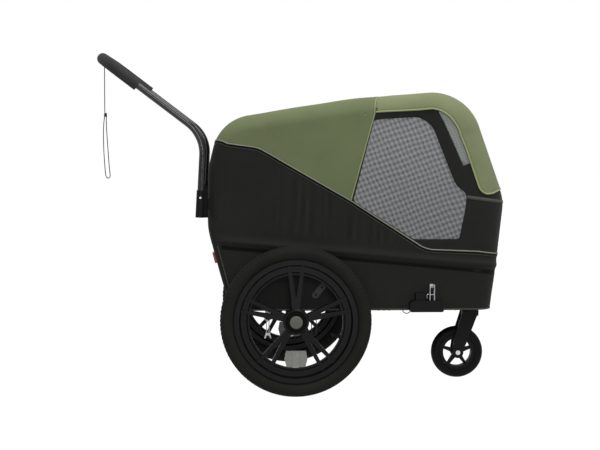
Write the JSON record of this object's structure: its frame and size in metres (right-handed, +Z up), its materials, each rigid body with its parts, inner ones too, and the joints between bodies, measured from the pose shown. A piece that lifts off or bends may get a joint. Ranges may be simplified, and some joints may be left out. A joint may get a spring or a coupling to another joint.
{
  "type": "pet stroller",
  "caption": "Folding dog stroller and bike trailer: fabric cabin with net windows on a tubular frame, spoked rear wheels, a swivelling front wheel and a foam-grip push bar.",
  "frame": {"origin": "on the floor, at the middle of the part's length and width", "axes": "+X forwards along the direction of travel, +Y to the vehicle's left, +Z up"},
  "size_m": [1.3702, 0.7554, 1.136],
  "materials": {
    "frame_paint": "satin black powder coat",
    "handle_paint": "satin charcoal powder coat",
    "black_plastic": "moulded black, fine grain",
    "rim_plastic": "moulded black with a slight sheen",
    "bare_steel": "zinc plated",
    "polished": "polished",
    "black_fabric": "coated woven polyester",
    "green_fabric": "olive coated woven polyester",
    "pale_fabric": "pale olive coated woven polyester",
    "netting": "see-through polyester netting",
    "webbing": "woven webbing",
    "foam": "closed-cell foam sleeve",
    "tyre_rubber": "treaded rubber",
    "front_tyre": "smooth solid rubber",
    "red_lens": "moulded reflector lens",
    "clear_lens": "moulded prismatic reflector lens",
    "button_plastic": "moulded grey"
  },
  "bodies": {
    "chassis": {"base_frame": "frame_paint", "floor_board": "black_plastic", "side_rail_left": "frame_paint", "side_rail_right": "frame_paint", "corner_posts": "frame_paint", "hinge_blocks": "black_plastic", "hinge_pins": "bare_steel", "axle_beam": "frame_paint", "axle_left": "bare_steel", "axle_right": "bare_steel", "hitch_housing": "black_plastic", "hitch_channel": "bare_steel", "hitch_clip": "bare_steel", "tether_loops": "webbing", "link_plate": "frame_paint", "safety_clip": "bare_steel", "caster_head": "black_plastic", "tub_side_left": "black_fabric", "tub_side_right": "black_fabric", "tub_front": "black_fabric", "tub_rear": "black_fabric", "rear_reflector": "red_lens", "side_cover_left": "green_fabric", "side_cover_right": "green_fabric", "window_net_left": "netting", "window_net_right": "netting", "rear_cover": "black_fabric", "roof_cover": "pale_fabric", "front_cover": "pale_fabric", "front_net": "netting", "front_panel": "black_fabric"},
    "rear_frame": {"rear_hoop": "frame_paint", "handle_sockets": "black_plastic", "handle_tube": "handle_paint", "foam_grip": "foam", "wrist_strap": "webbing"},
    "front_frame": {"front_hoop": "frame_paint", "nose_bow": "frame_paint"},
    "wheel_left": {"rim_left": "rim_plastic", "tyre_left": "tyre_rubber", "bearings_left": "bare_steel", "hub_ring_left": "black_plastic", "valve_left": "front_tyre", "spoke_reflector_left": "clear_lens"},
    "wheel_right": {"rim_right": "rim_plastic", "tyre_right": "tyre_rubber", "bearings_right": "bare_steel", "hub_ring_right": "black_plastic", "valve_right": "front_tyre", "spoke_reflector_right": "clear_lens"},
    "release_left": {"hub_button_left": "button_plastic"},
    "release_right": {"hub_button_right": "button_plastic"},
    "snap_left": {"snap_button_left": "polished"},
    "snap_right": {"snap_button_right": "polished"},
    "hitch_lock": {"hitch_pin": "bare_steel"},
    "caster": {"caster_fork": "black_plastic", "caster_bolt": "polished"},
    "caster_wheel": {"caster_rim": "black_plastic", "caster_tyre": "front_tyre"}
  },
  "joints": [
    {"name": "rear_fold", "type": "hinge", "parent": "chassis", "child": "rear_frame", "pos_m": [-0.26312, 0, 0.52492], "axis": [0, 1, 0], "range_deg": [0, 81], "deforming": ["side_cover_left", "side_cover_right", "window_net_left", "window_net_right", "rear_cover", "roof_cover", "front_cover", "front_net", "front_panel"]},
    {"name": "front_fold", "type": "hinge", "parent": "chassis", "child": "front_frame", "pos_m": [0.58588, 0, 0.44785], "axis": [0, -1, 0], "range_deg": [0, 56]},
    {"name": "wheel_spin_left", "type": "hinge", "parent": "chassis", "child": "wheel_left", "pos_m": [-0.02612, 0.345, 0.25], "axis": [0, 1, 0], "continuous": true},
    {"name": "wheel_spin_right", "type": "hinge", "parent": "chassis", "child": "wheel_right", "pos_m": [-0.02612, -0.345, 0.25], "axis": [0, 1, 0], "continuous": true},
    {"name": "release_push_left", "type": "slide", "parent": "chassis", "child": "release_left", "axis": [0, -1, 0], "range_m": [0, 0.004], "stiffness_N_per_m": 800, "springref_m": -0.003},
    {"name": "release_push_right", "type": "slide", "parent": "chassis", "child": "release_right", "axis": [0, 1, 0], "range_m": [0, 0.004], "stiffness_N_per_m": 800, "springref_m": -0.003},
    {"name": "snap_push_left", "type": "slide", "parent": "rear_frame", "child": "snap_left", "axis": [0, -1, 0], "range_m": [0, 0.004], "stiffness_N_per_m": 600, "springref_m": -0.003},
    {"name": "snap_push_right", "type": "slide", "parent": "rear_frame", "child": "snap_right", "axis": [0, 1, 0], "range_m": [0, 0.004], "stiffness_N_per_m": 600, "springref_m": -0.003},
    {"name": "hitch_drop", "type": "slide", "parent": "chassis", "child": "hitch_lock", "axis": [0, 0, -1], "range_m": [0, 0.014]},
    {"name": "caster_swivel", "type": "hinge", "parent": "chassis", "child": "caster", "pos_m": [0.61288, 0, 0.26], "axis": [0, 0, 1], "continuous": true},
    {"name": "caster_spin", "type": "hinge", "parent": "caster", "child": "caster_wheel", "pos_m": [0.56288, 0, 0.092], "axis": [0, 1, 0], "continuous": true}
  ],
  "couplings": [
    {"joint": "front_fold", "follows": "rear_fold", "ratio": 0.69136}
  ]
}
